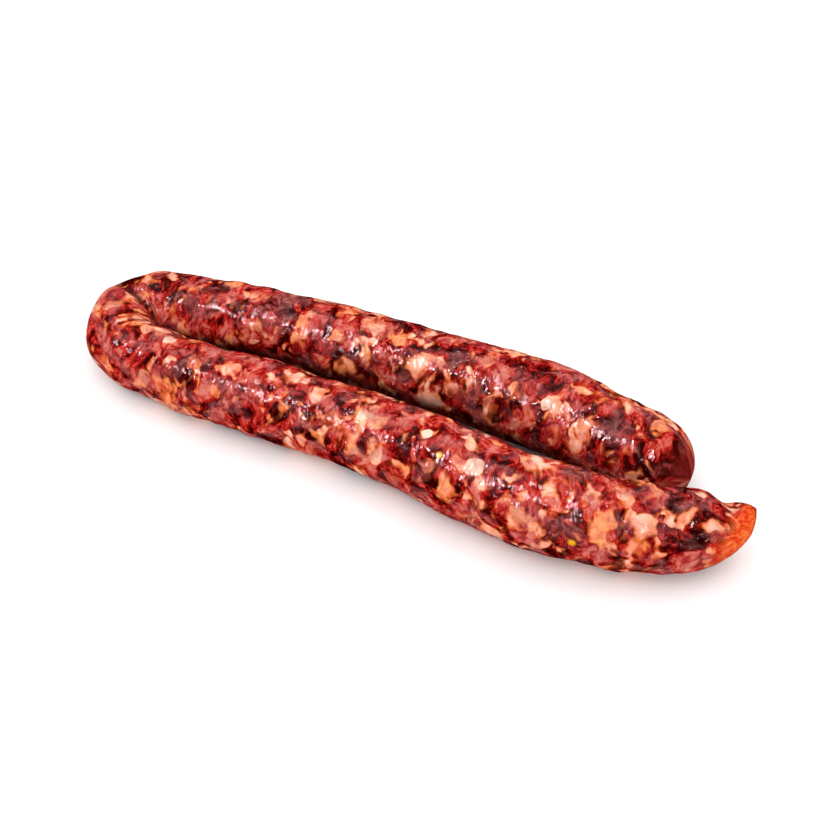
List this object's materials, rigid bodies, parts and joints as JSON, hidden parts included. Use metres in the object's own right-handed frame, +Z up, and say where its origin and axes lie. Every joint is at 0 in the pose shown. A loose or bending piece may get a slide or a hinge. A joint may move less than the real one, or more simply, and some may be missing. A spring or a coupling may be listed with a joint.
{
  "type": "dry-cured sausage",
  "caption": "Long dry-cured sausage of coarse meat in a natural casing, folded double so that its two runs lie side by side, with a pointed end and a blunt end.",
  "frame": {"origin": "on the surface that the sausage lies on, at the middle of its box seen from above", "axes": "+X along the runs from the fold towards the ends, +Y from the front run to the back run, +Z up"},
  "size_m": [0.293, 0.0832, 0.0367],
  "materials": {
    "cured_meat": "glossy casing over coarse red meat and white fat"
  },
  "bodies": {
    "root": {"sausage": "cured_meat"}
  },
  "joints": []
}
